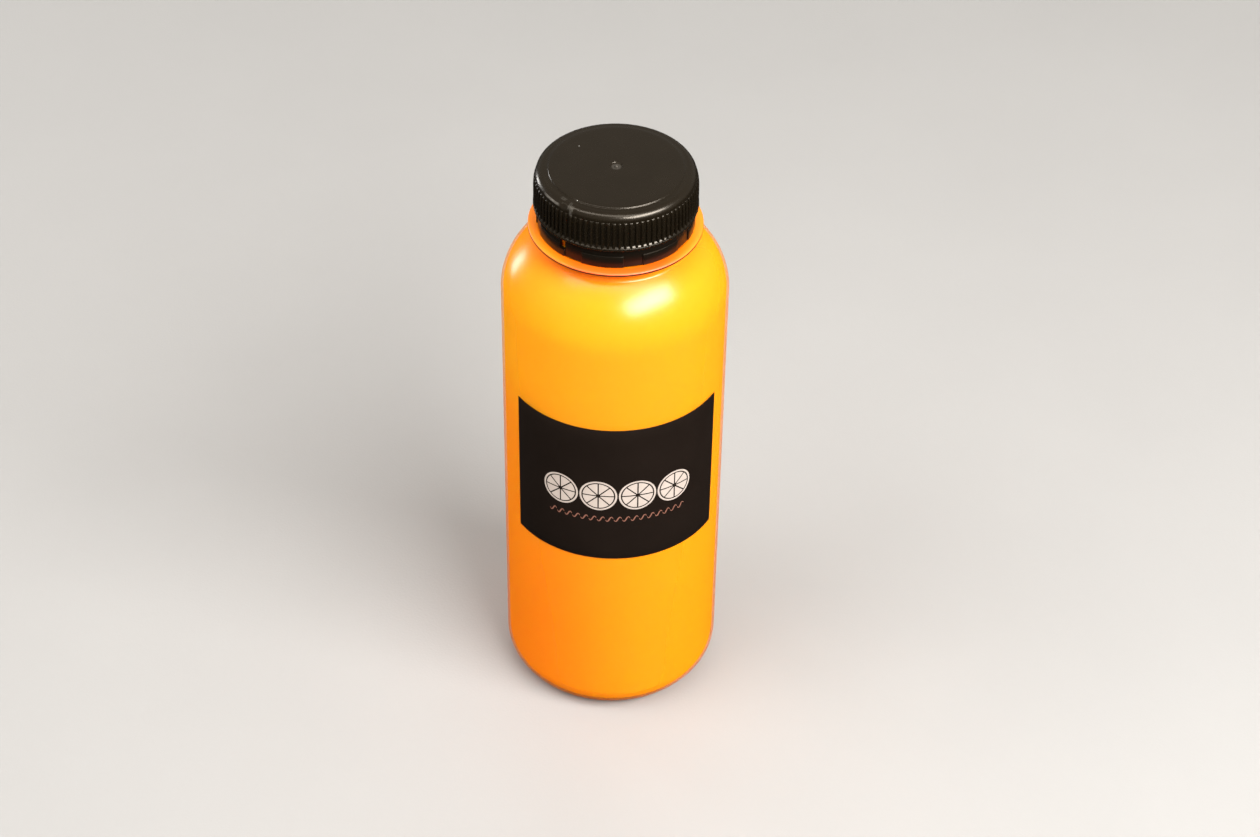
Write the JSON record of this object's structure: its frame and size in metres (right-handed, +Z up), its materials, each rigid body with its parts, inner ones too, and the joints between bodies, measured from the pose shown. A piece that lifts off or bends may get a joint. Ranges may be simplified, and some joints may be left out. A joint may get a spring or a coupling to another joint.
{
  "type": "filled juice bottle with screw cap",
  "caption": "Sealed round plastic bottle full of orange juice, with a domed shoulder, ribbed black screw cap, tamper band and a plain black wrap label",
  "frame": {"origin": "middle of the foot, on the surface that the bottle stands on", "axes": "+Z up along the bottle's axis, -Y to the front through the middle of the label, +X to the right seen from the front"},
  "size_m": [0.058, 0.0582, 0.166],
  "materials": {
    "bottle_wall": "translucent blown plastic with a soft satin gloss",
    "juice": "cloudy orange juice",
    "cap_plastic": "satin moulded plastic",
    "label_film": "coated black, satin"
  },
  "bodies": {
    "root": {"bottle": "bottle_wall", "juice": "juice", "cap": "cap_plastic", "tamper_band": "cap_plastic", "label": "label_film"}
  },
  "joints": []
}
